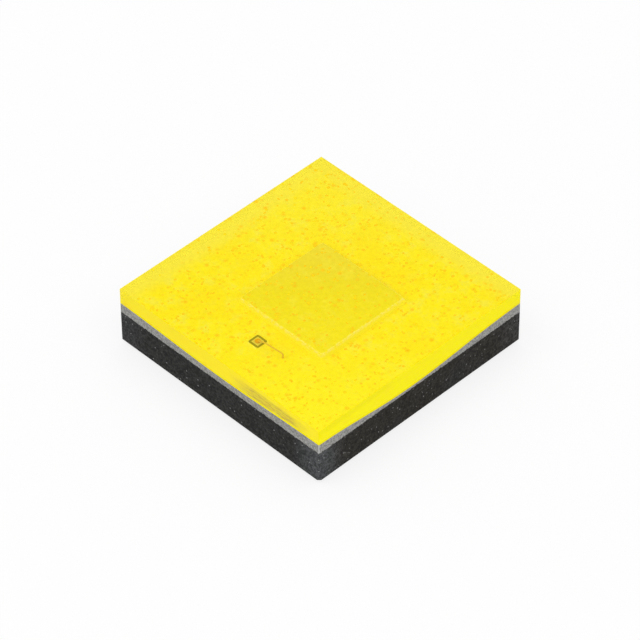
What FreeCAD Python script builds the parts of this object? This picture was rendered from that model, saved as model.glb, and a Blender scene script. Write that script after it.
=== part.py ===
"""Surface-mount light-emitting diode on a square ceramic carrier.

The carrier has three solder lands under it and two copper traces on top. A flip chip
stands over the gap between the traces, and a small protection diode beside it is wired
across that gap. A grey reflector fill, a thin phosphor coat and a flat clear silicone
cover are cast over them, and the whole package is sawn square from a larger panel.

Millimetres, +Z up, origin at the centre of the underside of the solder lands. The
cathode is on the +X side, and the protection diode is on the -Y side of the chip.
"""
import FreeCAD
import Part
import math
import os

Vec = FreeCAD.Vector

# Package outline
package_side = 2.4
saw_corner_radius = 0.006
carrier_thickness = 0.326
carrier_rim_radius = 0.005
face_height = 0.264  # light-emitting face over the top of the carrier
corner_nick_width = 0.03  # worn off the bottom of the corner towards +X and -Y
corner_nick_height = 0.06

# Solder lands under the carrier
land_thickness = 0.03
land_length = 2.1
terminal_land_width = 0.45
thermal_land_width = 0.8
land_gap = 0.2
land_corner_radius = 0.05
polarity_chamfer = 0.18

# Copper traces on the carrier and the vias that join them to the lands
trace_thickness = 0.02
trace_margin = 0.12
trace_gap = 0.09
trace_corner_radius = 0.06
via_diameter = 0.15
via_pitch = 1.4

# Flip chip and its two solder joints
chip_side = 0.965
chip_height = 0.1
chip_offset_x = 0.039
chip_offset_y = -0.016
chip_joint_thickness = 0.015
chip_joint_inset = 0.04
chip_joint_clearance = 0.03  # from the edge of the trace gap to the joint

# Protection diode beside the chip
diode_side = 0.122
diode_height = 0.085
diode_to_chip = 0.198
diode_offset_x = -0.015
diode_attach_thickness = 0.01
diode_attach_fillet = 0.012
diode_trace_margin = 0.06
bond_land_inset = 0.022
bond_land_thickness = 0.004

# Bond wire, which stands on a ball on the other trace and is stitched to a bump on the diode
wire_diameter = 0.015
ball_diameter = 0.052
ball_height = 0.018
wire_rise = 0.035  # top of the loop over the top of the bump
wire_climb_length = 0.07
wire_climb_radius = 0.08
wire_sag = 0.004
wire_knee_radius = 0.032
ball_from_gap = 0.066
ball_side_step = 0.024
stitch_length = 0.044
stitch_width = 0.026
stitch_thickness = 0.006
stitch_corner_radius = 0.01
stitch_sink = 0.002  # pressed into the bump

# Reflector fill, whose top settles towards the middle and the middles of the sides
fill_corner_height = 0.1
front_dip_depth = 0.032  # at the middle of the sides facing -Y and +Y
side_dip_depth = 0.072  # at the middle of the sides facing -X and +X
centre_dip_depth = 0.05
side_dip_skew = 0.1
fill_grid_steps = 12
fill_overrun = 1.06  # the formed surface reaches past the saw cuts

# Phosphor coat over the fill and the chip
coat_thickness = 0.02
coat_wall_thickness = 0.01

# Heights of the stacked layers
carrier_bottom = land_thickness
carrier_top = carrier_bottom + carrier_thickness
trace_top = carrier_top + trace_thickness
chip_bottom = trace_top + chip_joint_thickness
chip_top = chip_bottom + chip_height
diode_bottom = trace_top + diode_attach_thickness
diode_top = diode_bottom + diode_height
bond_land_top = diode_top + bond_land_thickness
bump_top = bond_land_top + ball_height
face_top = carrier_top + face_height

# Places that several pieces share
half_side = package_side / 2
trace_reach = half_side - trace_margin
terminal_land_x = thermal_land_width / 2 + land_gap + terminal_land_width / 2
diode_x = chip_offset_x + diode_offset_x
diode_y = chip_offset_y - chip_side / 2 - diode_to_chip - diode_side / 2
jog_y = chip_offset_y - chip_side / 2 - diode_to_chip / 2
jog_x = diode_x + diode_side / 2 + diode_trace_margin + trace_gap / 2
ball_x = jog_x + trace_gap / 2 + ball_from_gap
ball_y = diode_y + ball_side_step


def block(width, depth, height, x, y, z):
    """A box centred on x and y, with its underside at z."""
    return Part.makeBox(width, depth, height, Vec(x - width / 2, y - depth / 2, z))


def upright_edges(shape):
    """The straight edges of a shape that run along Z."""
    found = []
    for edge in shape.Edges:
        run = edge.Vertexes[-1].Point - edge.Vertexes[0].Point
        if abs(run.z) > 1e-6 and math.hypot(run.x, run.y) < 1e-6:
            found.append(edge)
    return found


def rounded_block(width, depth, height, x, y, z, radius):
    """A block whose upright edges are rounded."""
    body = block(width, depth, height, x, y, z)
    return body.makeFillet(radius, upright_edges(body))


def prism(outline, z, height, radius):
    """A flat plate on a polygon, with its upright edges rounded."""
    points = [Vec(x, y, z) for x, y in outline]
    wire = Part.makePolygon(points + [points[0]])
    plate = Part.Face(wire).extrude(Vec(0, 0, height))
    return plate.makeFillet(radius, upright_edges(plate))


def package_block(z, height):
    """A slice of the sawn package between two heights."""
    return rounded_block(package_side, package_side, height, 0, 0, z, saw_corner_radius)


def bell(t):
    """1 in the middle of a side and 0 at its ends, level at both."""
    return math.cos(math.pi * t / 2) ** 2


def fill_height(x, y):
    """Height of the fill over the carrier, from its dips along the sides and the middle."""
    u = x / half_side
    v = y / half_side
    along_x = bell(u)
    along_y = bell(v)
    skewed_y = bell(v + side_dip_skew * (1 - v * v))
    dip = front_dip_depth * along_x * (1 - along_y)
    dip += side_dip_depth * skewed_y * (1 - along_x)
    dip += centre_dip_depth * along_x * along_y
    return fill_corner_height - dip


def space_over_fill(lift):
    """Everything over the top of the fill, with that surface lifted straight up."""
    reach = half_side * fill_overrun
    steps = range(fill_grid_steps + 1)
    places = [reach * (2 * i / fill_grid_steps - 1) for i in steps]
    grid = [[Vec(x, y, carrier_top + fill_height(x, y) + lift) for y in places] for x in places]
    surface = Part.BSplineSurface()
    surface.interpolate(grid)
    return surface.toShape().extrude(Vec(0, 0, face_height + package_side))


def corner_nick():
    """What is worn off the bottom of the carrier's corner: a wedge with three legs."""
    corner = Vec(half_side, -half_side, carrier_bottom)
    inward = corner - Vec(corner_nick_width, 0, 0)
    along = corner + Vec(0, corner_nick_width, 0)
    up = corner + Vec(0, 0, corner_nick_height)
    sides = [(corner, inward, along), (corner, along, up), (corner, up, inward),
             (inward, up, along)]
    faces = [Part.Face(Part.makePolygon([a, b, c, a])) for a, b, c in sides]
    return Part.Solid(Part.Shell(faces))


def make_carrier():
    """The ceramic plate, with a rounded bottom rim, a worn corner and a hole for each via."""
    plate = package_block(carrier_bottom, carrier_thickness)
    rim = [e for e in plate.Edges if e.BoundBox.ZMax < carrier_bottom + 1e-6]
    plate = plate.makeFillet(carrier_rim_radius, rim)
    plate = plate.cut(corner_nick())
    for via in make_vias().values():
        plate = plate.cut(via)
    return plate


def make_lands():
    """Two terminal lands and the thermal land between them."""
    lands = {}
    lands["thermal_land"] = rounded_block(
        thermal_land_width, land_length, land_thickness, 0, 0, 0, land_corner_radius)
    lands["anode_land"] = rounded_block(
        terminal_land_width, land_length, land_thickness, -terminal_land_x, 0, 0,
        land_corner_radius)
    inner = terminal_land_x - terminal_land_width / 2
    outer = terminal_land_x + terminal_land_width / 2
    end = land_length / 2
    cathode_outline = [
        (inner, -end), (outer - polarity_chamfer, -end), (outer, -end + polarity_chamfer),
        (outer, end), (inner, end)]
    lands["cathode_land"] = prism(cathode_outline, 0, land_thickness, land_corner_radius)
    return lands


def make_vias():
    """Copper posts through the carrier, two to each terminal land."""
    vias = {}
    for terminal, x in (("anode", -terminal_land_x), ("cathode", terminal_land_x)):
        for place, y in (("front", -via_pitch / 2), ("rear", via_pitch / 2)):
            vias[terminal + "_via_" + place] = Part.makeCylinder(
                via_diameter / 2, carrier_thickness, Vec(x, y, carrier_bottom))
    return vias


def make_traces():
    """Two copper traces, parted by a gap that steps round the protection diode."""
    reach = trace_reach
    half_gap = trace_gap / 2
    anode_outline = [
        (-reach, -reach), (jog_x - half_gap, -reach), (jog_x - half_gap, jog_y - half_gap),
        (chip_offset_x - half_gap, jog_y - half_gap), (chip_offset_x - half_gap, reach),
        (-reach, reach)]
    cathode_outline = [
        (jog_x + half_gap, -reach), (reach, -reach), (reach, reach),
        (chip_offset_x + half_gap, reach), (chip_offset_x + half_gap, jog_y + half_gap),
        (jog_x + half_gap, jog_y + half_gap)]
    return {
        "anode_trace": prism(anode_outline, carrier_top, trace_thickness, trace_corner_radius),
        "cathode_trace": prism(cathode_outline, carrier_top, trace_thickness, trace_corner_radius),
    }


def make_chip():
    """The flip chip."""
    return block(chip_side, chip_side, chip_height, chip_offset_x, chip_offset_y, chip_bottom)


def make_chip_joints():
    """The two solder joints that carry the chip, one on each trace."""
    start = trace_gap / 2 + chip_joint_clearance
    width = chip_side / 2 - chip_joint_inset - start
    depth = chip_side - 2 * chip_joint_inset
    joints = {}
    for terminal, side in (("anode", -1), ("cathode", 1)):
        x = chip_offset_x + side * (start + width / 2)
        joints["chip_" + terminal + "_joint"] = block(
            width, depth, chip_joint_thickness, x, chip_offset_y, trace_top)
    return joints


def make_diode():
    """The protection diode's silicon die."""
    return block(diode_side, diode_side, diode_height, diode_x, diode_y, diode_bottom)


def make_diode_attach():
    """The pad of conductive adhesive under the protection diode."""
    width = diode_side + 2 * diode_attach_fillet
    return rounded_block(width, width, diode_attach_thickness, diode_x, diode_y, trace_top,
                         diode_attach_fillet)


def make_bond_land():
    """The metal contact on top of the protection diode."""
    width = diode_side - 2 * bond_land_inset
    return block(width, width, bond_land_thickness, diode_x, diode_y, diode_top)


def squashed_ball(base, crown_radius):
    """A squashed ball on its base, turned from its profile, with a flat crown."""
    radius = ball_diameter / 2
    profile = [
        (0, 0), (radius * 0.84, 0), (radius, ball_height * 0.35), (radius, ball_height * 0.6),
        (radius * 0.84, ball_height * 0.88), (crown_radius, ball_height), (0, ball_height)]
    points = [Vec(r, 0, base + z) for r, z in profile]
    face = Part.Face(Part.makePolygon(points + [points[0]]))
    return face.revolve(Vec(0, 0, 0), Vec(0, 0, 1), 360)


def round_rod(start, end, radius):
    """A straight round rod between two points."""
    run = end - start
    return Part.makeCylinder(radius, run.Length, start, run)


def round_bend(start, ahead, axis, bend_radius, turn, radius):
    """A round rod bent about an axis through a turn in radians, from a start and heading."""
    section = Part.Face(Part.Wire(Part.makeCircle(radius, start, ahead)))
    centre = start + axis.cross(ahead) * bend_radius
    return section.revolve(centre, axis, math.degrees(turn))


def bent_rod(points, bend_radii, radius):
    """A round rod along straight runs that tangent bends join at the middle points."""
    pieces = []
    start = points[0]
    for before, corner, after, bend_radius in zip(points, points[1:], points[2:], bend_radii):
        ahead = (corner - before).normalize()
        onward = (after - corner).normalize()
        turn = ahead.getAngle(onward)
        setback = bend_radius * math.tan(turn / 2)
        bend_start = corner - ahead * setback
        axis = ahead.cross(onward).normalize()
        pieces.append(round_rod(start, bend_start, radius))
        pieces.append(round_bend(bend_start, ahead, axis, bend_radius, turn, radius))
        start = corner + onward * setback
    pieces.append(round_rod(start, points[-1], radius))
    return pieces[0].multiFuse(pieces[1:])


def wire_loop(span):
    """The wire over a span along X: up from the bump, across, and down into the ball."""
    top = bump_top + wire_rise
    points = [
        Vec(0, 0, bump_top - wire_diameter / 2), Vec(wire_climb_length, 0, top),
        Vec(span, 0, top - wire_sag),
        Vec(span, 0, trace_top + ball_height / 2)]
    return bent_rod(points, [wire_climb_radius, wire_knee_radius], wire_diameter / 2)


def stitch():
    """The flattened end of the wire, a rounded tab pressed into the bump."""
    return rounded_block(stitch_length, stitch_width, stitch_thickness, 0, 0,
                         bump_top - stitch_sink, stitch_corner_radius)


def make_bond_wire():
    """Bump, stitch, wire and ball as the one gold piece that they are."""
    reach_x = ball_x - diode_x
    reach_y = ball_y - diode_y
    span = math.hypot(reach_x, reach_y)
    ball = squashed_ball(trace_top, wire_diameter / 2)
    ball.translate(Vec(span, 0, 0))
    bump = squashed_ball(bond_land_top, wire_diameter)
    wire = bump.fuse(stitch()).fuse(wire_loop(span)).fuse(ball).removeSplitter()
    wire.rotate(Vec(0, 0, 0), Vec(0, 0, 1), math.degrees(math.atan2(reach_y, reach_x)))
    wire.translate(Vec(diode_x, diode_y, 0))
    return wire


def cut_all(body, pieces):
    """The body with room left in it for each piece that it is cast round."""
    for piece in pieces:
        body = body.cut(piece)
    return body


def make_castings(inner):
    """The fill, the phosphor coat and the clear cover, cast one over another."""
    whole = package_block(carrier_top, face_height)
    over_fill = space_over_fill(0)
    over_coat = space_over_fill(coat_thickness)
    cap_side = chip_side + 2 * coat_wall_thickness
    cap_height = chip_top + coat_thickness - carrier_top
    cap = block(cap_side, cap_side, cap_height, chip_offset_x, chip_offset_y, carrier_top)
    fill = cut_all(whole.cut(over_fill), inner)
    skin = whole.common(over_fill).cut(over_coat)
    coat = cut_all(skin.fuse(cap.common(over_fill)).removeSplitter(), inner)
    cover = cut_all(whole.common(over_coat).cut(cap), inner)
    return {"reflector_fill": fill, "phosphor_coat": coat, "clear_cover": cover}


def make_parts():
    """Every piece of the diode by its name."""
    parts = {"ceramic_carrier": make_carrier()}
    parts.update(make_lands())
    parts.update(make_vias())
    inner = dict(make_traces())
    inner.update(make_chip_joints())
    inner["led_chip"] = make_chip()
    inner["diode_attach"] = make_diode_attach()
    inner["protection_diode"] = make_diode()
    inner["diode_bond_land"] = make_bond_land()
    inner["bond_wire"] = make_bond_wire()
    parts.update(inner)
    parts.update(make_castings(inner.values()))
    return parts


def main():
    """Build every piece and write it to its own file."""
    os.makedirs("parts", exist_ok=True)
    for name, shape in make_parts().items():
        solids = shape.Solids
        if len(solids) != 1 or not shape.isValid():
            raise ValueError(name + " isn't one sound solid: " + str(len(solids)))
        solid = solids[0]
        solid.exportStep("parts/" + name + ".step")
        box = solid.BoundBox
        print("%-20s %.5f mm3  z %.3f to %.3f" % (name, solid.Volume, box.ZMin, box.ZMax))


main()
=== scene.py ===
"""Surface-mount LED: the looks of a flat-topped ceramic package.

The carrier, its lands, traces and vias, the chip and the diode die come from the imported
model and get their finishes here. The three castings are remade with smooth surfaces: the
grey reflector fill, the phosphor coat over it and the clear cover. The bond wire is drawn
again round, and phosphor grains are strewn over the coat.
"""
import math

import bmesh
import bpy
from mathutils import Matrix, Vector


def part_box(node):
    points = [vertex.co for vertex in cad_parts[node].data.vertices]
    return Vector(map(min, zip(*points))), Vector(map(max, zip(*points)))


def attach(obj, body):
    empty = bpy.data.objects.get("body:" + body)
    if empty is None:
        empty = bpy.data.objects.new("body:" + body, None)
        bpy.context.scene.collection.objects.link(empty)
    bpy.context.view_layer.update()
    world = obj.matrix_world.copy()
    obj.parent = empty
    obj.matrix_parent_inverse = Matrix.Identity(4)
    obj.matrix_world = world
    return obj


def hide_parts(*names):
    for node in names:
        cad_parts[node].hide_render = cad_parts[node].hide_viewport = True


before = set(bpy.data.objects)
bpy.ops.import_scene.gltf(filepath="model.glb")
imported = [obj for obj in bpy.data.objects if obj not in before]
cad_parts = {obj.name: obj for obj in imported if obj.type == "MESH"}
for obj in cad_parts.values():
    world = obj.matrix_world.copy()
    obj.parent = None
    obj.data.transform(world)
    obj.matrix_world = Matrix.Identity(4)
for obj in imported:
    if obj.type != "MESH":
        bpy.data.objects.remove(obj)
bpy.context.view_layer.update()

bl_info = {
    "name": "Surface-mount LED",
    "version": (1, 0, 0),
    "blender": (4, 5, 0),
    "location": "3D View > Sidebar > LED",
    "description": "Finishes and fine pieces of a flat-topped ceramic LED package",
    "category": "Object",
}

MM = 0.001

carrier_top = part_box("ceramic_carrier")[1].z
face_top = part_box("clear_cover")[1].z
half_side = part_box("clear_cover")[1].x
trace_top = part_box("anode_trace")[1].z
chip_low, chip_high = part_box("led_chip")
diode_low, diode_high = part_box("protection_diode")
bond_land_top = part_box("diode_bond_land")[1].z
wire_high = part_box("bond_wire")[1]

# Values of the finishes. Places and widths are in millimetres.
SILICONE_IOR = 1.41
HALF = half_side / MM
MIDDLE_Z = (carrier_top + face_top) / 2 / MM
ON_SIDE = 0.99 * HALF
ON_WALL = 0.999
RAGGED_JOINT = {"depth": 0.045, "grains_per_mm": 60.0}
COVER_SAW = {"lines_per_mm": 70.0, "stretch": 0.12}
# Reach of the painted sheen on the ceramic's upright corners, in millimetres.
SHEEN_CORNER = 0.36
# Reach of the painted highlight on the fill's upright corners, in millimetres.
HIGHLIGHT_CORNER = 0.011
RELIEF = 0.003
COVER_RELIEF = 0.001
METAL_RELIEF = 0.004
METAL_DARKER = 0.86
METAL_UNEVEN = 0.2
# Width of the painted light along the far -X and +Y walls, and where it is full, in millimetres.
FAR_STRIP, FAR_STRIP_FULL = 0.2, 0.02
CHIP_FADE_OUT, CHIP_FADE_IN = 0.004, 0.012
RIM_FADE, RIM_FULL = 0.05, 0.005
DIES_WITHIN = 0.8 * HALF
# A band of painted shade on the +X side of the cover, below its top edge and towards the front.
SHADE_BAND_Z = (face_top / MM - 0.1, face_top / MM - 0.03)
SHADE_BAND_Y = (-0.1, -0.6)
# Where a brownish-grey patch lies on the cover's -Y side, in millimetres.
PATCH_X = (0.1, 0.45, 0.8, 1.15)
PATCH_Z = (MIDDLE_Z - 0.07, MIDDLE_Z - 0.02, MIDDLE_Z + 0.05, MIDDLE_Z + 0.1)

# Values of the fine shapes. HAIR is the least gap, and LIP_STEPS counts in hairs.
CASTING_RINGS = 56
GROUND_RINGS = 24
SKIRT_STEPS = 8
SKIRT_CURVE = 1.8
ROUND_STEPS = 4
HAIR = 0.001 * MM
LIP_STEPS = (1.5, 0.2)
WIRE_FACETS = 14
BALL_FOOT = 0.84
BALL_BULGE = 0.2
BALL_SWEEP = 0.9
BALL_STEPS = 10
CROWN_WIDTH, CROWN_HEIGHT = 0.9, 0.1
STITCH_SHOULDER, STITCH_TOP = 0.96, 0.7
GRAIN_SEED = 4
GRAIN_LEAST = (0.3, 0.3, 0.12)
GRAIN_MOST = (1.0, 1.0, 0.3)
GRAIN_SEGMENTS, GRAIN_RINGS = 8, 5
BARE_BESIDE_DIES = 0.6

# Camera, lamps and surround
CAMERA_AIM = Vector((0.0247, -0.0281, 0.2914)) * MM
CAMERA_AZIMUTH = math.radians(45.613)
CAMERA_ELEVATION = math.radians(43.656)
CAMERA_ROLL = math.radians(-0.38)
CAMERA_DISTANCE = 33.845 * MM
CAMERA_LENS = 224.01
CAMERA_SENSOR = 36
CAMERA_SEES = (1 * MM, 10)
FLOOR_SIZE = 400 * MM
FLOOR_COLOUR = (0.92, 0.92, 0.92)
FLOOR_GLOW = 0.8
SURROUND_LIGHT = 0.8
LAMPS = [
    ("key_lamp", -30, 52, 60, 40, 0.006),
    ("fill_lamp", 105, 45, 70, 50, 0.005),
    ("top_lamp", 200, 70, 80, 60, 0.004),
]


def length(name, description, millimetres):
    """A length that a user can change, shown in the scene's own units."""
    return bpy.props.FloatProperty(
        name=name, description=description, default=millimetres * MM, unit="LENGTH",
        precision=6)


def tone(name, description, colour):
    """A colour that a user can change."""
    return bpy.props.FloatVectorProperty(
        name=name, description=description, default=colour, subtype="COLOR", size=3,
        min=0, max=1)


class LedSizes(bpy.types.PropertyGroup):
    """Sizes of the castings, the wire and the grains."""
    corner_radius: length("Corner radius", "Rounding left on the sawn corners", 0.006)
    fill_corner: length("Fill at corners", "Fill height over the carrier at a corner", 0.1)
    front_dip: length("Front dip", "How far the fill settles mid-way along -Y and +Y", 0.032)
    side_dip: length("Side dip", "How far the fill settles mid-way along -X and +X", 0.072)
    centre_dip: length("Centre dip", "How far the fill settles round the chip", 0.05)
    dip_skew: bpy.props.FloatProperty(
        name="Dip skew", description="How far the side dips lie off the middle", default=0.1)
    coat: length("Coat", "Thickness of the phosphor coat", 0.02)
    coat_wall: length("Coat wall", "Thickness of the coat on the chip's walls", 0.01)
    cap_edge: length("Cap edge", "Rounding of the coat over the chip's edges", 0.02)
    collar: length("Collar", "How far the coat creeps out from the chip and diode", 0.032)
    collar_wall: length("Collar wall", "Thickness of the coat on the diode's walls", 0.006)
    collar_lip: length("Collar lip", "How far the coat reaches over the diode's edge", 0.0005)
    collar_corner: length("Collar corner", "Rounding of the coat at its corners", 0.02)
    cover_sink: length("Cover sink", "How far the cover keys into the coat", 0.004)
    cover_rim: length("Cover rim", "Width of the worn rim round the cover's top", 0.005)
    wire: length("Wire", "Diameter of the bond wire", 0.015)
    ball: length("Ball", "Diameter of the ball and of the bump", 0.052)
    ball_height: length("Ball height", "Height of the ball and of the bump", 0.018)
    wire_rise: length("Wire rise", "Top of the wire's axis over the bump", 0.035)
    wire_climb: length("Wire climb", "Run over which the wire climbs from the bump", 0.07)
    climb_radius: length("Climb radius", "Bend where the wire levels out", 0.08)
    wire_sag: length("Wire sag", "How far the wire falls before its knee", 0.004)
    knee_radius: length("Knee radius", "Bend of the wire over the ball", 0.032)
    stitch_length: length("Stitch length", "Length of the flattened end", 0.044)
    stitch_width: length("Stitch width", "Width of the flattened end", 0.026)
    stitch_height: length("Stitch height", "Thickness of the flattened end", 0.006)
    grain: length("Grain", "Diameter of a large phosphor grain", 0.034)
    grains: bpy.props.IntProperty(
        name="Grains", description="Grains on the coat, if none were left out by the dies",
        default=750, min=0)


class LedColours(bpy.types.PropertyGroup):
    """Colours of the finishes."""
    ceramic: tone("Ceramic", "Dark carrier", (0.0205, 0.0205, 0.0195))
    ceramic_brown: tone("Ceramic, brown", "Browner areas, on +X", (0.0205, 0.018, 0.0145))
    # Painted sheen: lighter, bluish corners of the carrier, weighted towards the front corner.
    ceramic_corner_sheen: tone("Ceramic, corners", "Painted light on the corners", (0.062, 0.065, 0.067))
    # Partly painted light: real crystal specks, made lighter to stand for their glints.
    ceramic_speck_glint: tone("Ceramic specks", "Crystal specks", (0.42, 0.42, 0.42))
    fill: tone("Fill", "Reflector fill", (0.31, 0.307, 0.295))
    fill_dark: tone("Fill, dark", "Pits and dust on the sawn fill", (0.13, 0.13, 0.12))
    # Painted highlight along the fill's upright corners.
    fill_corner_highlight: tone("Fill, rubbed", "Painted light on the corners of the fill", (0.6, 0.6, 0.585))
    coat: tone("Coat", "Phosphor coat", (0.97, 0.815, 0.003))
    coat_warm: tone("Coat, warm", "Clouds of warmer phosphor", (0.97, 0.765, 0.0))
    coat_pale: tone("Coat, pale", "Clouds of paler phosphor", (0.92, 0.8, 0.042))
    coat_near: tone("Coat, near", "Thicker coat towards +X and -Y", (0.99, 0.87, 0.01))
    # Painted light: paler coat along the far walls, standing for light seen through them.
    coat_far_lit: tone("Coat, far light", "Paler coat along -X and +Y, painted light from the far walls", (0.93, 0.79, 0.04))
    coat_halo: tone("Coat, halo", "Orange glow round buried grains", (0.98, 0.54, 0.0))
    coat_cap: tone("Coat on chip", "Coat where the chip is under it", (0.84, 0.7, 0.006))
    coat_cap_far: tone("Coat on chip, far", "Coat on its far corner", (0.86, 0.7, 0.025))
    # Painted light: brighter than the coat, to offset the shade on steep walls.
    coat_steep_lit: tone("Coat, steep", "Coat on the chip's walls", (1.0, 0.87, 0.01))
    # Partly painted light: a thin pale coat on the rim, made brighter to offset its shade.
    coat_edge_pale_lit: tone("Coat, edge", "Thin pale coat round the chip's rim", (1.0, 0.9, 0.17))
    grain: tone("Grain", "Orange phosphor grains", (1.0, 0.62, 0.0))
    cover: tone("Cover", "Clear silicone", (1.0, 0.98, 0.85))
    cover_gloss: tone("Cover gloss", "Tint of its reflections", (1.0, 0.85, 0.1))
    cover_side: tone("Cover side", "Sawn side of the cover", (0.99, 0.89, 0.01))
    # Painted light: a lit copy of the cover's side, lighter and more yellow, for the +X side.
    cover_lit_side: tone("Cover, +X side", "+X side of the cover, painted lighter and more yellow", (1.0, 0.96, 0.0))
    # A brownish-grey patch on the cover's -Y side.
    cover_brown_patch: tone("Cover patch", "Brownish-grey patch in the saw marks", (0.36, 0.28, 0.17))
    gold: tone("Gold", "Gold plate on the lands", (0.83, 0.6, 0.26))
    copper: tone("Copper", "Copper traces and vias", (0.72, 0.35, 0.2))
    solder: tone("Solder", "Solder under the chip", (0.6, 0.6, 0.58))
    chip: tone("Chip", "Chip crystal", (0.25, 0.3, 0.38))
    silicon: tone("Silicon", "Diode die", (0.36, 0.3, 0.0))
    contact: tone("Contact", "Metal contact on the diode", (0.86, 0.72, 0.05))
    wire: tone("Wire", "Bond wire", (0.84, 0.55, 0.03))
    bump: tone("Bump", "Gold bump on the diode", (0.86, 0.42, 0.0))


def sizes():
    """The scene's sizes."""
    return bpy.context.scene.led_sizes


def colours():
    """The scene's colours."""
    return bpy.context.scene.led_colours


# Node trees

class Tree:
    """A node tree, with short ways to add what the finishes and the shapes are made of."""

    def __init__(self, tree):
        self.nodes = tree.nodes
        self.links = tree.links
        self.where = None
        self.axes = None

    def feed(self, socket, value):
        """Link an input from another socket, or set it."""
        if isinstance(value, bpy.types.NodeSocket):
            self.links.new(value, socket)
        elif socket.type == "RGBA":
            socket.default_value = (*value, 1)
        else:
            socket.default_value = value

    def add(self, kind, inputs=None, **settings):
        """A node with its settings made and its inputs fed."""
        node = self.nodes.new(kind)
        for name, value in settings.items():
            setattr(node, name, value)
        for name, value in (inputs or {}).items():
            self.feed(node.inputs[name], value)
        return node

    def place(self):
        """Object coordinates in millimetres."""
        if self.where is None:
            coordinates = self.add("ShaderNodeTexCoord")
            self.where = self.scaled(coordinates.outputs["Object"], 1 / MM)
        return self.where

    def along(self, axis):
        """The place along X, Y or Z, in millimetres."""
        if self.axes is None:
            self.axes = self.add("ShaderNodeSeparateXYZ", {0: self.place()})
        return self.axes.outputs[axis]

    def off(self, axis, middle=0.0):
        """How far the place lies from a middle along X, Y or Z, in millimetres."""
        return self.math("ABSOLUTE", self.math("SUBTRACT", self.along(axis), middle))

    def noise(self, scale, detail=2.0, roughness=0.5, place=None):
        """A noise pattern of 0 to 1."""
        node = self.add("ShaderNodeTexNoise", {
            "Vector": self.place() if place is None else place,
            "Scale": scale, "Detail": detail, "Roughness": roughness})
        return node.outputs["Fac"]

    def remap(self, value, low, high, to_low=0.0, to_high=1.0):
        """A value taken smoothly from low..high to 0..1 or another span, and clamped."""
        node = self.add("ShaderNodeMapRange", {
            "Value": value, "From Min": low, "From Max": high, "To Min": to_low,
            "To Max": to_high}, interpolation_type="SMOOTHSTEP")
        return node.outputs["Result"]

    def math(self, operation, first, second=0.0, clamp=False):
        """What a math operation makes of two sockets or numbers."""
        node = self.add("ShaderNodeMath", {0: first, 1: second}, operation=operation, use_clamp=clamp)
        return node.outputs["Value"]

    def times(self, first, second):
        """One value multiplied by another."""
        return self.math("MULTIPLY", first, second)

    def scaled(self, vector, share):
        """A vector or colour multiplied by a number."""
        node = self.add("ShaderNodeVectorMath", {0: vector, "Scale": share}, operation="SCALE")
        return node.outputs["Vector"]

    def shaded(self, colour, mask, none, full):
        """A colour scaled by one share where a mask is 0 and by another where it is 1."""
        return self.scaled(colour, self.remap(mask, 0.0, 1.0, none, full))

    def layered(self, colour, *layers):
        """A colour with others laid over it in turn, each as far as its mask goes."""
        for mask, other in layers:
            node = self.add("ShaderNodeMix", {0: mask, 6: colour, 7: other}, data_type="RGBA")
            colour = node.outputs[2]
        return colour

    def effect(self, name, **values):
        """The outputs of a shared effect, with its inputs set by name."""
        inputs = {label.replace("_", " ").capitalize(): value for label, value in values.items()}
        return self.add("ShaderNodeGroup", inputs, node_tree=effect_group(name)).outputs


class Finish(Tree):
    """A material with one Principled shader."""

    def __init__(self, name, roughness=0.5, metallic=0.0, specular=0.5):
        self.material = bpy.data.materials.new(name)
        self.material.use_nodes = True
        super().__init__(self.material.node_tree)
        self.shader = self.nodes["Principled BSDF"]
        self.set("Roughness", roughness)
        self.set("Metallic", metallic)
        self.set("Specular IOR Level", specular)

    def set(self, label, value):
        """Set or link an input of the shader."""
        self.feed(self.shader.inputs[label], value)

    def bump(self, height, distance_mm=RELIEF, strength=1.0):
        """Relief from a height of 0 to 1."""
        node = self.add("ShaderNodeBump", {
            "Height": height, "Distance": distance_mm * MM, "Strength": strength})
        self.set("Normal", node.outputs["Normal"])


# Effects that several materials share

def filled_grain(tree, given):
    """Fine grain of a filled or sintered material: a mask and a height, both 0 to 1."""
    fine = tree.noise(given["Grains per mm"], 3.0, 0.65)
    spread = tree.times(tree.math("SUBTRACT", fine, 0.5), given["Contrast"])
    return {"Mask": tree.math("ADD", spread, 0.5, clamp=True), "Height": fine}


def sparse_specks(tree, given):
    """Sparse round specks, each of its own strength."""
    cells = tree.add("ShaderNodeTexVoronoi", {
        "Vector": tree.place(), "Scale": given["Cells per mm"]})
    chance = tree.add("ShaderNodeSeparateColor", {"Color": cells.outputs["Color"]})
    chosen = tree.math("LESS_THAN", chance.outputs["Red"], given["Share"])
    strength = tree.times(chosen, chance.outputs["Green"])
    inside = tree.remap(cells.outputs["Distance"], given["Reach"], 0.0)
    return {"Mask": tree.times(strength, inside)}


def saw_marks(tree, given):
    """Marks that a dicing saw leaves along a side: streaks that run with the cut."""
    stretched = {axis: tree.times(tree.along(axis), given["Stretch"]) for axis in "XY"}
    place = tree.add("ShaderNodeCombineXYZ", {**stretched, "Z": tree.along("Z")})
    streaks = tree.noise(given["Lines per mm"], 3.0, 0.7, place.outputs[0])
    return {"Mask": tree.remap(streaks, 0.42, 0.7), "Height": streaks}


def nearness_to_corners(tree, given):
    """Nearness to an upright corner of the package: 1 within Near of it, 0 beyond Far, in mm."""
    least = tree.math("MINIMUM", tree.off("X"), tree.off("Y"))
    away = tree.math("SUBTRACT", HALF, least)
    return {"Mask": tree.remap(away, given["Far"], given["Near"])}


def ragged_joint(tree, given):
    """1 above the joint between carrier and fill, which the saw has smeared raggedly."""
    noise = tree.noise(given["Grains per mm"])
    wander = tree.times(tree.math("SUBTRACT", noise, 0.5), given["Depth"])
    above = tree.math("SUBTRACT", tree.along("Z"), carrier_top / MM)
    return {"Mask": tree.remap(tree.math("ADD", above, wander), -0.002, 0.002)}


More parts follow.
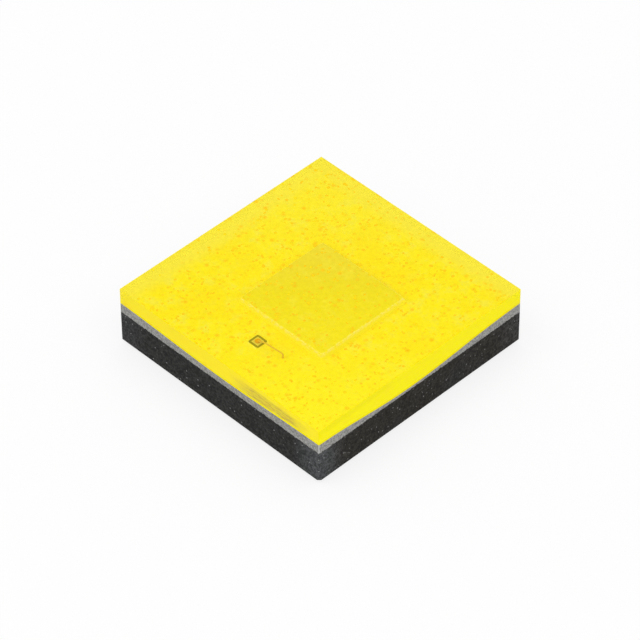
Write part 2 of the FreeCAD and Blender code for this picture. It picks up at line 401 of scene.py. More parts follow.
EFFECTS = {
    "Filled grain": (filled_grain, {"Grains per mm": 60.0, "Contrast": 1.0}),
    "Sparse specks": (sparse_specks, {"Cells per mm": 20.0, "Reach": 0.3, "Share": 0.3}),
    "Saw marks": (saw_marks, {"Lines per mm": 60.0, "Stretch": 0.06}),
    "Nearness to corners": (nearness_to_corners, {"Near": 0.0, "Far": 0.3}),
    "Ragged joint": (ragged_joint, {"Depth": 0.03, "Grains per mm": 40.0}),
}


def effect_group(name):
    """The shader node group of an effect, which is made when it is first asked for."""
    if name in bpy.data.node_groups:
        return bpy.data.node_groups[name]
    pattern, inputs = EFFECTS[name]
    group = bpy.data.node_groups.new(name, "ShaderNodeTree")
    for label, default in inputs.items():
        socket = group.interface.new_socket(label, in_out="INPUT", socket_type="NodeSocketFloat")
        socket.default_value = default
    tree = Tree(group)
    made = pattern(tree, tree.add("NodeGroupInput").outputs)
    for label in made:
        group.interface.new_socket(label, in_out="OUTPUT", socket_type="NodeSocketFloat")
    tree.add("NodeGroupOutput", made)
    return group


# Masks that follow the place on the part

def towards_front(tree):
    """How far a place lies towards the +X and -Y corner, in millimetres."""
    node = tree.add(
        "ShaderNodeVectorMath", {0: tree.place(), 1: (1, -1, 0)}, operation="DOT_PRODUCT")
    return node.outputs["Value"]


def far_wall_light_mask(tree):
    """1 beside the -X and +Y walls, fading to 0 further in, where light seen through the far walls is
    painted on the coat.
    """
    by_side = tree.remap(tree.along("X"), FAR_STRIP - HALF, FAR_STRIP_FULL - HALF)
    by_rear = tree.remap(tree.along("Y"), HALF - FAR_STRIP, HALF - FAR_STRIP_FULL)
    return tree.math("MAXIMUM", by_side, by_rear)


def chip_mask(tree):
    """1 over the chip and the coat on its walls, and 0 away from it."""
    centre = (chip_low + chip_high) / 2 / MM
    reach = ((chip_high.x - chip_low.x) / 2 + sizes().coat_wall) / MM
    inside = [tree.remap(tree.off(axis, middle), reach + CHIP_FADE_OUT, reach - CHIP_FADE_IN)
              for axis, middle in (("X", centre.x), ("Y", centre.y))]
    return tree.times(*inside)


def steep_mask(tree):
    """1 on steep coat round the chip and the diode, and 0 on the package's own sides."""
    geometry = tree.add("ShaderNodeNewGeometry")
    normal = tree.add("ShaderNodeSeparateXYZ", {0: geometry.outputs["True Normal"]})
    mask = tree.remap(normal.outputs["Z"], 0.97, 0.5)
    for axis in "XY":
        mask = tree.times(mask, tree.math("LESS_THAN", tree.off(axis), DIES_WITHIN))
    return mask


def rim_mask(tree, broken):
    """Up to 1 at the height of the chip's rounded rim, broken by a grain mask, and 0 below."""
    rim_z = chip_high.z / MM
    high = tree.remap(tree.along("Z"), rim_z - RIM_FADE, rim_z - RIM_FULL)
    return tree.times(high, tree.remap(broken, 0.3, 0.7, 0.1, 1.0))


def brown_patch_mask(tree):
    """1 in a brownish-grey patch on the -Y side of the cover, and 0 elsewhere."""
    mask = tree.math("LESS_THAN", tree.along("Y"), -ON_SIDE)
    for axis, (start, full, end, gone) in (("X", PATCH_X), ("Z", PATCH_Z)):
        mask = tree.times(mask, tree.remap(tree.along(axis), start, full))
        mask = tree.times(mask, tree.remap(tree.along(axis), gone, end))
    return mask


# Materials

def ceramic_material():
    """Dark sintered ceramic: browner areas on +X, painted sheen on the upright corners that is strongest
    at the front, and crystal specks painted lighter for their glints.
    """
    finish = Finish("Dark ceramic", specular=0.06)
    tint = colours()
    areas = finish.remap(finish.noise(1.6, 1.0), 0.35, 0.55)
    brown = finish.times(areas, finish.math("GREATER_THAN", finish.along("X"), ON_SIDE))
    # Painted sheen on the upright corners, strongest at the +X, -Y corner in front.
    corner = finish.effect("Nearness to corners", near=0.0, far=SHEEN_CORNER)["Mask"]
    worn_and_sheen = finish.remap(towards_front(finish), 0.0, 2 * HALF, 0.3, 1.0)
    body = finish.layered(
        tint.ceramic, (brown, tint.ceramic_brown), (finish.times(worn_and_sheen, corner), tint.ceramic_corner_sheen))
    patches = finish.effect("Filled grain", grains_per_mm=14.0, contrast=2.0)["Mask"]
    grain = finish.effect("Filled grain", grains_per_mm=48.0, contrast=3.5)
    body = finish.shaded(body, patches, 0.8, 1.2)
    body = finish.shaded(body, grain["Mask"], 0.6, 1.5)
    # Crystal specks, painted lighter to stand for their glints.
    specks = finish.effect("Sparse specks", cells_per_mm=36.0, reach=0.34, share=0.12)["Mask"]
    joint = finish.effect("Ragged joint", **RAGGED_JOINT)["Mask"]
    finish.set("Base Color", finish.layered(
        body, (specks, tint.ceramic_speck_glint), (joint, tint.fill_dark)))
    finish.set("Roughness", finish.remap(grain["Height"], 0.3, 0.7, 0.65, 0.45))
    finish.bump(grain["Height"])
    return finish.material


def fill_material():
    """Grey filled silicone, sawn at the sides: coarse grain, dusty pits and a painted highlight on the
    upright corners.
    """
    finish = Finish("Reflector fill", roughness=0.75, specular=0.2)
    tint = colours()
    grain = finish.effect("Filled grain", grains_per_mm=56.0, contrast=4.5)
    pits = finish.effect("Sparse specks", cells_per_mm=44.0, reach=0.5, share=0.4)["Mask"]
    body = finish.shaded(finish.layered(tint.fill, (pits, tint.fill_dark)), grain["Mask"], 0.68, 1.25)
    # Painted highlight along the fill's upright corners.
    corner = finish.effect("Nearness to corners", near=0.0, far=HIGHLIGHT_CORNER)["Mask"]
    highlighted = finish.layered(body, (corner, tint.fill_corner_highlight))
    joint = finish.effect("Ragged joint", **RAGGED_JOINT)["Mask"]
    finish.set("Base Color", finish.layered(tint.ceramic, (joint, highlighted)))
    saw = finish.effect("Saw marks", lines_per_mm=50.0, stretch=0.08)
    finish.bump(finish.math("ADD", grain["Height"], saw["Height"]))
    return finish.material


def coat_material():
    """Phosphor coat: warm and pale clouds, fine grain and duller over the chip, with painted light: a
    paler strip along the far walls, and brighter colours on steep walls and the chip's rim to offset
    their shade.
    """
    finish = Finish("Phosphor coat", roughness=0.85, specular=0.0)
    tint = colours()
    clouds = finish.noise(7.0, 6.0, 0.78)
    pale = finish.remap(clouds, 0.52, 0.34)
    towards = towards_front(finish)
    halos = finish.effect("Sparse specks", cells_per_mm=13.0, reach=0.42, share=0.5)["Mask"]
    small = finish.effect("Sparse specks", cells_per_mm=23.0, reach=0.45, share=0.3)["Mask"]
    glow = finish.math("MAXIMUM", halos, small)
    on_fill = finish.layered(
        tint.coat,
        (finish.remap(clouds, 0.48, 0.68), tint.coat_warm),
        (pale, tint.coat_pale),
        (finish.remap(finish.noise(2.2), 0.48, 0.66, 0.0, 0.7), tint.coat_warm),
        (finish.remap(towards, -0.3, -2.3, 0.0, 0.38), tint.coat_pale),
        (finish.remap(towards, 0.2, 2.2, 0.0, 0.8), tint.coat_near),
        # Painted light along the far -X and +Y walls.
        (far_wall_light_mask(finish), tint.coat_far_lit),
        (glow, tint.coat_halo))
    on_chip = finish.layered(
        tint.coat_cap,
        (finish.remap(towards, -0.9, 0.95, 0.0, 0.55), tint.coat),
        (finish.remap(towards, 0.1, -0.9), tint.coat_cap_far),
        (finish.times(pale, 0.5), tint.coat_pale),
        (glow, tint.coat_halo))
    grain = finish.effect("Filled grain", grains_per_mm=30.0, contrast=2.5)
    level = finish.shaded(
        finish.layered(on_fill, (chip_mask(finish), on_chip)), grain["Mask"], 0.955, 1.03)
    steep = steep_mask(finish)
    rim = finish.times(rim_mask(finish, grain["Mask"]), steep)
    # Steep walls and the chip's rim get colours painted brighter to offset their shade.
    finish.set("Base Color", finish.layered(level, (steep, tint.coat_steep_lit), (rim, tint.coat_edge_pale_lit)))
    finish.bump(grain["Height"])
    return finish.material


def grain_material():
    """Orange phosphor grains, some paler than others."""
    finish = Finish("Orange grains", roughness=0.8, specular=0.0)
    paler = finish.remap(finish.noise(14.0, 1.0), 0.34, 0.68)
    finish.set("Base Color", finish.layered(colours().grain, (paler, colours().coat_warm)))
    return finish.material


def clear_finish(name, roughness, base, specular=0.0, transmission=1.0):
    """Clear silicone, which bends light and mirrors only a little of what is round it."""
    finish = Finish(name, roughness=roughness, specular=specular)
    finish.set("Transmission Weight", transmission)
    finish.set("IOR", SILICONE_IOR)
    finish.set("Specular Tint", colours().cover_gloss)
    finish.set("Base Color", base)
    return finish


def cover_top_material():
    """The cover's moulded top, smooth and barely wavy."""
    finish = clear_finish("Clear silicone", 0.04, colours().cover, specular=0.1)
    finish.bump(finish.noise(5.0), COVER_RELIEF)
    return finish.material


def cover_lit_side_material():
    """The cover's sawn +X side, painted lighter and more yellow than the others, with a painted shade
    band below its top edge towards the front.
    """
    tint = colours()
    # Painted light: a lit copy of the sawn side, lighter, more yellow and less clear.
    finish = clear_finish("Silicone, lit +X side", 0.4, tint.cover_lit_side, transmission=0.45)
    saw = finish.effect("Saw marks", **COVER_SAW)["Mask"]
    body = finish.layered(tint.cover_lit_side, (saw, tint.cover_side))
    # Painted shade: a darker band below the top edge, fading out away from the front.
    upper = finish.remap(finish.along("Z"), *SHADE_BAND_Z)
    front = finish.remap(finish.along("Y"), *SHADE_BAND_Y)
    finish.set("Base Color", finish.shaded(body, finish.times(upper, front), 1.0, 0.93))
    return finish.material


def cover_side_material(name, roughness, transmission, with_patch):
    """A side of the cover with faint streaks of the saw, and a brownish-grey patch on -Y."""
    tint = colours()
    finish = clear_finish(name, roughness, tint.cover_side, transmission=transmission)
    saw = finish.effect("Saw marks", **COVER_SAW)["Mask"]
    body = finish.shaded(tint.cover_side, saw, 1.0, 0.97)
    if with_patch:
        # The brownish-grey patch, stronger in the saw streaks.
        darkening = finish.times(brown_patch_mask(finish), finish.remap(saw, 0.0, 0.7, 0.5, 1.0))
        body = finish.layered(body, (darkening, tint.cover_brown_patch))
    finish.set("Base Color", body)
    return finish.material


def metal_material(name, colour, roughness, metallic=1.0, specular=0.5):
    """A plated or drawn metal with a fine satin grain, or a die or wire dulled by silicone."""
    finish = Finish(name, metallic=metallic, specular=specular)
    grain = finish.effect("Filled grain", grains_per_mm=80.0, contrast=1.5)
    darker = [part * METAL_DARKER for part in colour]
    finish.set("Base Color", finish.layered(darker, (grain["Mask"], colour)))
    smoothest, roughest = roughness * (1 - METAL_UNEVEN), roughness * (1 + METAL_UNEVEN)
    finish.set("Roughness", finish.remap(grain["Height"], 0.3, 0.7, smoothest, roughest))
    finish.bump(grain["Height"], METAL_RELIEF, 0.5)
    return finish.material


# Mesh helpers

def bell(t):
    """1 in the middle of a side and 0 at its ends, level at both."""
    return math.cos(math.pi * t / 2) ** 2


def fill_top(x, y):
    """Top of the reflector fill at a place, as the part's source works it out."""
    size = sizes()
    v = y / half_side
    along_x = bell(x / half_side)
    along_y = bell(v)
    skewed_y = bell(v + size.dip_skew * (1 - v * v))
    dip = size.front_dip * along_x * (1 - along_y)
    dip += size.side_dip * skewed_y * (1 - along_x)
    dip += size.centre_dip * along_x * along_y
    return carrier_top + size.fill_corner - dip


def coat_top(x, y):
    """Top of the phosphor coat where it lies on the fill."""
    return fill_top(x, y) + sizes().coat


def cover_foot(x, y):
    """Underside of the cover, which keys a little into the coat away from the sawn sides."""
    inside = half_side - max(abs(x), abs(y))
    return coat_top(x, y) - min(sizes().cover_sink, HAIR / 2 + max(inside, 0))


def rounded_outline(reach_x, reach_y, radius, side_steps, corner_steps, centre=(0, 0)):
    """Points round a box grown by a radius, with rounded corners, anticlockwise from above."""
    points = []
    for quarter in range(4):
        along, across = (reach_x, reach_y) if quarter % 2 == 0 else (reach_y, reach_x)
        local = []
        for step in range(corner_steps + 1):
            angle = -math.pi / 2 + math.pi / 2 * step / corner_steps
            local.append(Vector((
                along + radius * math.cos(angle), -across + radius * math.sin(angle))))
        for step in range(1, side_steps):
            local.append(Vector((along + radius, -across + 2 * across * step / side_steps)))
        turn = Matrix.Rotation(quarter * math.pi / 2, 2)
        points += [turn @ place + Vector(centre) for place in local]
    return points


def package_outline(inset=0.0, side_steps=48, corner_steps=4):
    """Points round the sawn package."""
    radius = sizes().corner_radius
    reach = half_side - radius
    return rounded_outline(reach, reach, radius - inset, side_steps, corner_steps)


def block_outline(low, high, stand_off, corner=0.0, side_steps=16, corner_steps=5):
    """Points round a block at a distance from it."""
    reach = (high - low) / 2
    return rounded_outline(reach.x - corner, reach.y - corner, corner + stand_off,
                           side_steps, corner_steps, ((low + high) / 2).xy)


def ring_at(mesh, outline, height):
    """A ring of vertices over an outline, at one height or at a height for each place."""
    height_at = height if callable(height) else lambda x, y: height
    return [mesh.verts.new((x, y, height_at(x, y))) for x, y in outline]


def add_surface(mesh, outline, height, rings, facing_up):
    """A surface of nested rings inside an outline. Returns its outermost ring."""
    centre = mesh.verts.new((0, 0, height(0, 0)))
    last = None
    for ring in range(1, rings + 1):
        share = ring / rings
        row = ring_at(mesh, [(x * share, y * share) for x, y in outline], height)
        for i in range(len(row)):
            j = (i + 1) % len(row)
            corners = [centre, row[i], row[j]] if last is None else [last[i], row[i], row[j], last[j]]
            mesh.faces.new(corners if facing_up else corners[::-1])
        last = row
    return last


def add_wall(mesh, lower, upper):
    """Faces between two rings, of which one may be a point, facing outwards. Returns them."""
    faces = []
    for i in range(max(len(lower), len(upper))):
        corners = [ring[k % len(ring)] for ring, k in (
            (lower, i), (lower, i + 1), (upper, i + 1), (upper, i))]
        faces.append(mesh.faces.new(list(dict.fromkeys(corners))))
    return faces


def join_rings(mesh, rings):
    """Smooth faces from each ring to the next."""
    for ring, following in zip(rings, rings[1:]):
        for face in add_wall(mesh, ring, following):
            face.smooth = True


def casting(lower, upper, rim=0.0):
    """A closed layer over the whole package between two heights, with sharp sawn edges."""
    mesh = bmesh.new()
    outline = package_outline()
    foot = add_surface(mesh, outline, lower, CASTING_RINGS, facing_up=False)
    face = add_surface(mesh, package_outline(rim), upper, CASTING_RINGS, facing_up=True)
    if rim:
        shoulder = ring_at(mesh, outline, lambda x, y: upper(x, y) - rim)
        for worn_and_sheen in add_wall(mesh, shoulder, face):
            worn_and_sheen.edges[2].smooth = False
        face = shoulder
    for wall in add_wall(mesh, foot, face):
        wall.material_index = 1
        for edge in (wall.edges[0], wall.edges[2]):
            edge.smooth = False
    for each in mesh.faces:
        each.smooth = True
    return mesh


def object_of(name, data):
    """An object at the origin, in the scene."""
    made = bpy.data.objects.new(name, data)
    bpy.context.scene.collection.objects.link(made)
    return made


def object_from(mesh, name, materials):
    """An object at the origin from a bmesh, which is then freed."""
    data = bpy.data.meshes.new(name)
    mesh.to_mesh(data)
    mesh.free()
    for material in materials:
        data.materials.append(material)
    return object_of(name, data)


def settle(piece):
    """A plain mesh object in the place of one with modifiers, which is taken out."""
    graph = bpy.context.evaluated_depsgraph_get()
    data = bpy.data.meshes.new_from_object(piece.evaluated_get(graph))
    name = piece.name
    bpy.data.objects.remove(piece)
    return object_of(name, data)


def dress(material, *node_names):
    """The same material on each of several CAD nodes."""
    for name in node_names:
        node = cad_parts[name]
        node.data.materials.clear()
        node.data.materials.append(material)


def hand_over(piece, slot_name, *node_names):
    """Let a piece ride with the part and stand for the nodes that it replaces."""
    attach(piece, "root")
    if node_names:
        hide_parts(*node_names)


# Geometry nodes

def geometry_tree(name, inputs):
    """A geometry nodes tree with inputs of given kinds, ways to add to it, and its inputs."""
    group = bpy.data.node_groups.new(name, "GeometryNodeTree")
    for label, kind in inputs.items():
        group.interface.new_socket(label, in_out="INPUT", socket_type="NodeSocket" + kind)
    group.interface.new_socket("Result", in_out="OUTPUT", socket_type="NodeSocketGeometry")
    tree = Tree(group)
    return group, tree, tree.add("NodeGroupInput").outputs


def smoothed(tree, geometry):
    """A geometry with smooth shading."""
    return tree.add("GeometryNodeSetShadeSmooth", {"Geometry": geometry}).outputs[0]


def put_out(tree, geometry, material):
    """End a tree with real instances in a material."""
    real = tree.add("GeometryNodeRealizeInstances", {"Geometry": geometry})
    dressed = tree.add("GeometryNodeSetMaterial", {"Geometry": real.outputs[0], "Material": material})
    tree.add("NodeGroupOutput", {"Result": dressed.outputs[0]})


def round_wire_tree(material):
    """Geometry nodes that give a path the thickness of a round wire."""
    group, tree, given = geometry_tree("Round wire", {"Path": "Geometry", "Radius": "Float"})
    section = tree.add("GeometryNodeCurvePrimitiveCircle", {
        "Resolution": WIRE_FACETS, "Radius": given["Radius"]})
    tube = tree.add("GeometryNodeCurveToMesh", {
        "Curve": given["Path"], "Profile Curve": section.outputs["Curve"], "Fill Caps": True})
    put_out(tree, smoothed(tree, tube.outputs["Mesh"]), material)
    return group


def strewn_grains_tree(material):
    """Geometry nodes that strew small lumpy grains over a surface."""
    group, tree, given = geometry_tree("Strewn grains", {
        "Surface": "Geometry", "Density": "Float", "Diameter": "Float", "Seed": "Int"})
    strew = tree.add("GeometryNodeDistributePointsOnFaces", {
        "Mesh": given["Surface"], "Density": given["Density"], "Seed": given["Seed"]})
    lump = tree.add("GeometryNodeMeshUVSphere", {
        "Segments": GRAIN_SEGMENTS, "Rings": GRAIN_RINGS, "Radius": 0.5})
    chance = tree.add("FunctionNodeRandomValue", {
        0: GRAIN_LEAST, 1: GRAIN_MOST, "Seed": given["Seed"]}, data_type="FLOAT_VECTOR")
    lumps = tree.add("GeometryNodeInstanceOnPoints", {
        "Points": strew.outputs["Points"], "Rotation": strew.outputs["Rotation"],
        "Instance": smoothed(tree, lump.outputs["Mesh"]),
        "Scale": tree.scaled(chance.outputs[0], given["Diameter"])})
    put_out(tree, lumps.outputs["Instances"], material)
    return group


def add_nodes(piece, group, **values):
    """Put a geometry nodes modifier on a piece, with its inputs set by their identifiers."""
    modifier = piece.modifiers.new(group.name, "NODES")
    modifier.node_group = group
    sockets = {item.name: item for item in group.interface.items_tree if item.in_out == "INPUT"}
    for label, value in values.items():
        modifier[sockets[label.capitalize()].identifier] = value


# Bond wire

def bent_path(corners, radii, steps=8):
    """Points along straight runs that round bends join at the middle corners."""
    path = [corners[0]]
    for before, corner, after, radius in zip(corners, corners[1:], corners[2:], radii):
        ahead = (corner - before).normalized()
        onward = (after - corner).normalized()
        turn = ahead.angle(onward)
        start = corner - ahead * radius * math.tan(turn / 2)
        axis = ahead.cross(onward).normalized()
        centre = start + axis.cross(ahead) * radius
        for step in range(steps + 1):
            spin = Matrix.Rotation(turn * step / steps, 3, axis)
            path.append(centre + spin @ (start - centre))
    path.append(corners[-1])
    return path


def wire_ends():
    """Places on the floor plan of the bump on the diode and of the ball on the trace."""
    radius = sizes().ball / 2
    bump = (diode_low + diode_high) / 2
    ball = Vector((wire_high.x - radius, wire_high.y - radius, 0))
    return Vector((bump.x, bump.y, 0)), ball


def wire_path():
    """The axis of the bond wire, from inside the bump up, across and down into the ball."""
    size = sizes()
    bump, ball = wire_ends()
    run = ball - bump
    bump_top = bond_land_top + size.ball_height
    top = bump_top + size.wire_rise
    corners = [
        bump + Vector((0, 0, bump_top - size.wire / 2)),
        bump + run.normalized() * size.wire_climb + Vector((0, 0, top)),
        ball + Vector((0, 0, top - size.wire_sag)),
        ball + Vector((0, 0, trace_top + size.ball_height / 2))]
    return bent_path(corners, [size.climb_radius, size.knee_radius])


def make_wire_loop(material):
    """The looped wire as a mesh, swept along its path by geometry nodes."""
    points = wire_path()
    curve = bpy.data.curves.new("wire_axis", "CURVE")
    curve.dimensions = "3D"
    spline = curve.splines.new("POLY")
    spline.points.add(len(points) - 1)
    for point, place in zip(spline.points, points):
        point.co = (*place, 1)
    axis = object_of("wire_loop", curve)
    add_nodes(axis, round_wire_tree(material), radius=sizes().wire / 2)
    return settle(axis)


def turned(profile, centre, segments=24):
    """A closed round shape from a profile of radius and height about an upright axis."""
    mesh = bmesh.new()
    rings = []
    for radius, z in profile:
        count = segments if radius else 1
        angles = [2 * math.pi * i / count for i in range(count)]
        circle = [(centre.x + radius * math.cos(angle), centre.y + radius * math.sin(angle))
                  for angle in angles]
        rings.append(ring_at(mesh, circle, z))
    join_rings(mesh, rings)
    return mesh


def make_ball(material, name, place, base):
    """A squashed ball bond, round-sided, with a small crown that the wire grows from."""
    size = sizes()
    radius = size.ball / 2
    profile = [(0, base), (radius * BALL_FOOT, base)]
    for step in range(1, BALL_STEPS):
        angle = math.pi * (step / BALL_STEPS - 0.5) * BALL_SWEEP
        profile.append((
            radius * (1 - BALL_BULGE + BALL_BULGE * math.cos(angle)),
            base + size.ball_height * (0.5 + 0.5 * math.sin(angle))))
    top = base + size.ball_height
    profile += [(size.wire * CROWN_WIDTH, top), (0, top + size.wire * CROWN_HEIGHT)]
    return object_from(turned(profile, place), name, [material])


def make_stitch(material):
    """The flattened end of the wire on the bump, an oval that thins to its tip."""
    size = sizes()
    bump, ball = wire_ends()
    base = bond_land_top + size.ball_height - size.stitch_height / 3
    top = base + size.stitch_height
    profile = [
        (0, base), (1, base), (STITCH_SHOULDER, (base + top) / 2), (STITCH_TOP, top), (0, top)]
    mesh = turned(profile, Vector((0, 0, 0)))
    run = ball - bump
    turn = Matrix.Rotation(math.atan2(run.y, run.x), 3, "Z")
    stretch = Matrix.Diagonal((size.stitch_length / 2, size.stitch_width / 2, 1))
    for vert in mesh.verts:
        vert.co = turn @ (stretch @ vert.co) + bump
    return object_from(mesh, "stitch_bond", [material])


# Coat over the dies, and its grains

def creep_rings(mesh, low, high, start, start_z, corner=0.0):
    """Rings up a concave skirt of coat, from its foot to a start beside the block."""
    reach = sizes().collar
    rings = []
    for step in range(SKIRT_STEPS + 1):
        share = 1 - step / SKIRT_STEPS
        outline = block_outline(low, high, start + (reach - start) * share ** SKIRT_CURVE, corner)
        rings.append(ring_at(
            mesh, outline, lambda x, y: start_z + (coat_top(x, y) - HAIR - start_z) * share))
    return rings


def coat_cap():
    """The coat over the chip, with a rounded upper edge and a skirt that runs out on the fill."""
    size = sizes()
    mesh = bmesh.new()
    top = chip_high.z + size.coat
    edge = size.cap_edge
    base = block_outline(chip_low, chip_high, size.collar)
    rings = [ring_at(mesh, base, carrier_top + size.coat)]
    rings += creep_rings(mesh, chip_low, chip_high, size.coat_wall, top - edge)
    for step in range(1, ROUND_STEPS + 1):
        angle = math.pi / 2 * step / ROUND_STEPS
        out = size.coat_wall - edge * (1 - math.cos(angle))
        outline = block_outline(chip_low, chip_high, out, edge)
        rings.append(ring_at(mesh, outline, top - edge * (1 - math.sin(angle))))
    join_rings(mesh, rings)
    mesh.faces.new(rings[-1])
    mesh.faces.new(rings[0][::-1])
    return mesh


def coat_collar():
    """The coat that has crept up the diode's walls and a little way over its edge."""
    size = sizes()
    mesh = bmesh.new()
    floor = carrier_top + size.coat
    top = diode_high.z

    def ring(stand_off, z, corner=size.collar_corner):
        return ring_at(mesh, block_outline(diode_low, diode_high, stand_off, corner), z)

    under = ring(size.collar, floor)
    rings = [under] + creep_rings(
        mesh, diode_low, diode_high, size.collar_wall, top - 2 * HAIR, size.collar_corner)
    over, beside = (step * HAIR for step in LIP_STEPS)
    rings += [
        ring(size.collar_wall / 2, top + HAIR),
        ring(-size.collar_lip, top + over),
        ring(-size.collar_lip, top + beside),
        ring(beside, top + beside, 0.0),
        ring(beside, floor, 0.0)]
    join_rings(mesh, rings + [under])
    return mesh


def strewing_ground():
    """The top of the coat alone, on the fill and on the chip, for the grains to lie on."""
    size = sizes()
    mesh = bmesh.new()
    margin = 1 - size.grain / half_side
    outline = [point * margin for point in package_outline()]
    add_surface(mesh, outline, coat_top, GROUND_RINGS, facing_up=True)
    under = [face for face in mesh.faces if beside_dies(face.calc_center_median())]
    bmesh.ops.delete(mesh, geom=under, context="FACES")
    corners = [(chip_low.x, chip_low.y), (chip_high.x, chip_low.y), (chip_high.x, chip_high.y),
               (chip_low.x, chip_high.y)]
    mesh.faces.new(ring_at(mesh, corners, chip_high.z + size.coat))
    return object_from(mesh, "orange_grains", [])


def beside_dies(place):
    """Whether a place lies over the chip or the diode, or over the coat's skirt round them."""
    reach = sizes().collar * BARE_BESIDE_DIES
    return any(
        low.x - reach < place.x < high.x + reach and low.y - reach < place.y < high.y + reach
        for low, high in ((chip_low, chip_high), (diode_low, diode_high)))


# Stage

def direction(azimuth, elevation):
    """Unit vector from the part towards a place round it; azimuth 0 is in front, on -Y."""
    return Vector((math.sin(azimuth) * math.cos(elevation),
                   -math.cos(azimuth) * math.cos(elevation), math.sin(elevation)))


def aim(thing, place, target, roll=0.0):
    """Put an object at a place, looking at a target."""
    thing.location = place
    turn = (target - place).to_track_quat("-Z", "Y")
    thing.rotation_euler = (turn.to_matrix() @ Matrix.Rotation(roll, 3, "Z")).to_euler()


def make_camera(scene):
    """The photograph's viewpoint."""
    data = bpy.data.cameras.new("viewpoint")
    data.lens = CAMERA_LENS
    data.sensor_width = CAMERA_SENSOR
    data.clip_start, data.clip_end = CAMERA_SEES
    camera = object_of("viewpoint", data)
    place = CAMERA_AIM + direction(CAMERA_AZIMUTH, CAMERA_ELEVATION) * CAMERA_DISTANCE
    aim(camera, place, CAMERA_AIM, CAMERA_ROLL)
    scene.camera = camera


def seen_mask(tree):
    """1 where the camera sees a thing, also in a mirror or through glass, and 0 for its light."""
    path = tree.add("ShaderNodeLightPath").outputs
    seen = tree.math("MAXIMUM", path["Is Camera Ray"], path["Is Glossy Ray"])
    return tree.math("MAXIMUM", seen, path["Is Transmission Ray"])


def make_floor():
    """A plain white floor that keeps the part's soft shadow."""
    mesh = bmesh.new()
    bmesh.ops.create_grid(mesh, x_segments=1, y_segments=1, size=FLOOR_SIZE)
    finish = Finish("White floor", roughness=0.9, specular=0.1)
    finish.set("Base Color", FLOOR_COLOUR)
    mix = finish.add("ShaderNodeMixShader", {
        0: finish.times(seen_mask(finish), FLOOR_GLOW), 1: finish.shader.outputs[0],
        2: finish.add("ShaderNodeEmission").outputs[0]})
    finish.feed(finish.nodes["Material Output"].inputs["Surface"], mix.outputs[0])
    object_from(mesh, "floor", [finish.material])


def make_world(scene):
    """An even pale surround, seen as white and lighting the part softly."""
    world = bpy.data.worlds.new("surround")
    world.use_nodes = True
    tree = Tree(world.node_tree)
    back = tree.nodes["Background"]
    tree.feed(back.inputs["Color"], (1, 1, 1))
    strength = tree.remap(seen_mask(tree), 0.0, 1.0, SURROUND_LIGHT, 1.0)
    tree.feed(back.inputs["Strength"], strength)
    scene.world = world


def make_lamps():
    """Soft area lamps, each by azimuth, elevation, distance, width and power."""
    for name, azimuth, elevation, distance, width, power in LAMPS:
        data = bpy.data.lights.new(name, "AREA")
        data.shape = "DISK"
        data.size = width * MM
        data.energy = power
        towards = direction(math.radians(azimuth), math.radians(elevation))
        aim(object_of(name, data), CAMERA_AIM + towards * distance * MM, CAMERA_AIM)


# Operators

class LED_OT_stage(bpy.types.Operator):
    """Camera, floor, lamps and background"""
    bl_idname = "led.stage"
    bl_label = "Stage"

    def execute(self, context):
        make_camera(context.scene)
        make_floor()
        make_world(context.scene)
        make_lamps()
        context.scene.view_settings.view_transform = "Standard"
        return {"FINISHED"}


class LED_OT_carrier(bpy.types.Operator):
    """Ceramic carrier and the metal on it"""
    bl_idname = "led.carrier"
    bl_label = "Carrier and metal"

    def execute(self, context):
        tint = colours()
        vias = [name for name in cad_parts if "_via_" in name]
        dress(ceramic_material(), "ceramic_carrier")
        dress(metal_material("Gold plate", tint.gold, 0.3), "anode_land", "cathode_land", "thermal_land")
        dress(metal_material("Copper", tint.copper, 0.4), "anode_trace", "cathode_trace", *vias)
        return {"FINISHED"}


class LED_OT_dies(bpy.types.Operator):
    """Chip, protection diode and what holds them"""
    bl_idname = "led.dies"
    bl_label = "Chip and diode"

    def execute(self, context):
        tint = colours()
        dress(metal_material("Solder", tint.solder, 0.45), "chip_anode_joint", "chip_cathode_joint")
        dress(metal_material("Chip crystal", tint.chip, 0.2, 0.0), "led_chip")
        dress(metal_material("Silver adhesive", tint.solder, 0.6, 0.5), "diode_attach")
        dress(metal_material("Silicon", tint.silicon, 0.5, 0.0, 0.0), "protection_diode")
        dress(metal_material("Contact", tint.contact, 0.5, 0.0, 0.0), "diode_bond_land")
        return {"FINISHED"}


class LED_OT_bond_wire(bpy.types.Operator):
    """Looped wire, its bump and stitch on the diode and its ball on the trace"""
    bl_idname = "led.bond_wire"
    bl_label = "Bond wire"

    def execute(self, context):
        gold = metal_material("Drawn wire", colours().wire, 0.6, 0.0, 0.0)
        pressed = metal_material("Bump gold", colours().bump, 0.6, 0.0, 0.0)
        bump, ball = wire_ends()
        hand_over(make_wire_loop(gold), "gold_wire", "bond_wire")
        hand_over(make_ball(pressed, "diode_bump", bump, bond_land_top), "gold_wire")
        hand_over(make_ball(pressed, "trace_ball", ball, trace_top), "gold_wire")
        hand_over(make_stitch(pressed), "gold_wire")
        return {"FINISHED"}


class LED_OT_castings(bpy.types.Operator):
    """Reflector fill and phosphor coat"""
    bl_idname = "led.castings"
    bl_label = "Fill and coat"

    def execute(self, context):
        grey = fill_material()
        fill = casting(lambda x, y: carrier_top, fill_top)
        hand_over(object_from(fill, "fill_body", [grey, grey]), "reflector_silicone", "reflector_fill")
        yellow = coat_material()
        coat = casting(fill_top, coat_top)
        hand_over(object_from(coat, "coat_body", [yellow, yellow]), "phosphor", "phosphor_coat")
        for name, mesh in (("coat_cap", coat_cap()), ("coat_collar", coat_collar())):
            hand_over(object_from(mesh, name, [yellow]), "phosphor")
        return {"FINISHED"}


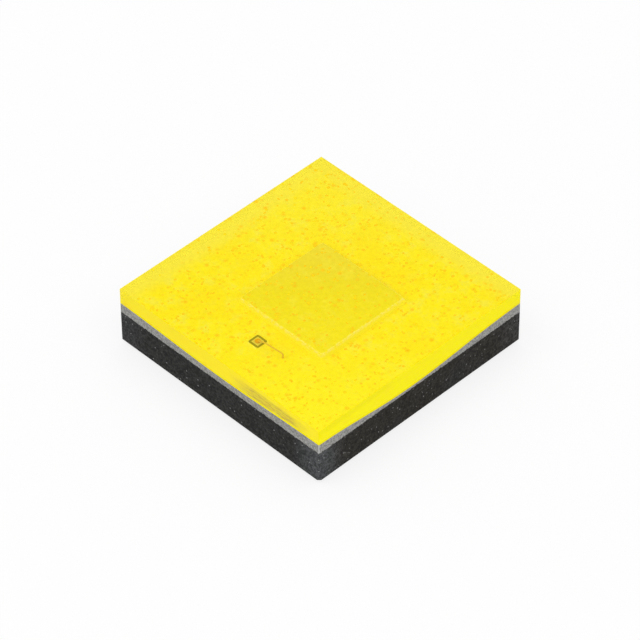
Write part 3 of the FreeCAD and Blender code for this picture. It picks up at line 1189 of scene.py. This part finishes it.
class LED_OT_grains(bpy.types.Operator):
    """Orange phosphor grains on the coat"""
    bl_idname = "led.grains"
    bl_label = "Phosphor grains"

    def execute(self, context):
        size = sizes()
        ground = strewing_ground()
        density = size.grains / (4 * half_side * half_side)
        add_nodes(ground, strewn_grains_tree(grain_material()),
                  density=density, diameter=size.grain, seed=GRAIN_SEED)
        hand_over(settle(ground), "phosphor")
        return {"FINISHED"}


class LED_OT_cover(bpy.types.Operator):
    """Clear silicone cover"""
    bl_idname = "led.cover"
    bl_label = "Cover"

    def execute(self, context):
        finishes = [
            cover_top_material(),
            cover_side_material("Sawn silicone", 0.4, 0.75, with_patch=True),
            cover_lit_side_material(),
            cover_side_material("Cut silicone", 0.08, 0.92, with_patch=False)]
        mesh = casting(cover_foot, lambda x, y: face_top, rim=sizes().cover_rim)
        for face in [each for each in mesh.faces if each.material_index == 1]:
            place = face.calc_center_median()
            if place.x > ON_WALL * half_side:
                face.material_index = 2
            elif place.y > -ON_WALL * half_side:
                face.material_index = 3
        cover = object_from(mesh, "cover_body", finishes)
        cover.visible_shadow = False
        cover.visible_diffuse = False
        hand_over(cover, "clear_silicone", "clear_cover")
        return {"FINISHED"}


class LED_PT_parts(bpy.types.Panel):
    """Builds the LED's pieces"""
    bl_label = "Surface-mount LED"
    bl_space_type = "VIEW_3D"
    bl_region_type = "UI"
    bl_category = "LED"

    def draw(self, context):
        for group in (context.scene.led_sizes, context.scene.led_colours):
            for name in group.__annotations__:
                self.layout.prop(group, name)
        for operator in OPERATORS:
            self.layout.operator(operator.bl_idname)


SETTINGS = (LedSizes, LedColours)
OPERATORS = (LED_OT_stage, LED_OT_carrier, LED_OT_dies, LED_OT_bond_wire, LED_OT_castings,
             LED_OT_grains, LED_OT_cover)


def register():
    """Register the settings, the operators and the panel."""
    for each in (*SETTINGS, *OPERATORS, LED_PT_parts):
        bpy.utils.register_class(each)
    bpy.types.Scene.led_sizes = bpy.props.PointerProperty(type=LedSizes)
    bpy.types.Scene.led_colours = bpy.props.PointerProperty(type=LedColours)


def unregister():
    """Take the settings, the operators and the panel out again."""
    del bpy.types.Scene.led_colours
    del bpy.types.Scene.led_sizes
    for each in reversed((*SETTINGS, *OPERATORS, LED_PT_parts)):
        bpy.utils.unregister_class(each)


def main():
    """Build every piece in order."""
    register()
    for operator in OPERATORS:
        step = operator.bl_idname.split(".")[1]
        getattr(bpy.ops.led, step)()


if __name__ == "__main__":
    main()
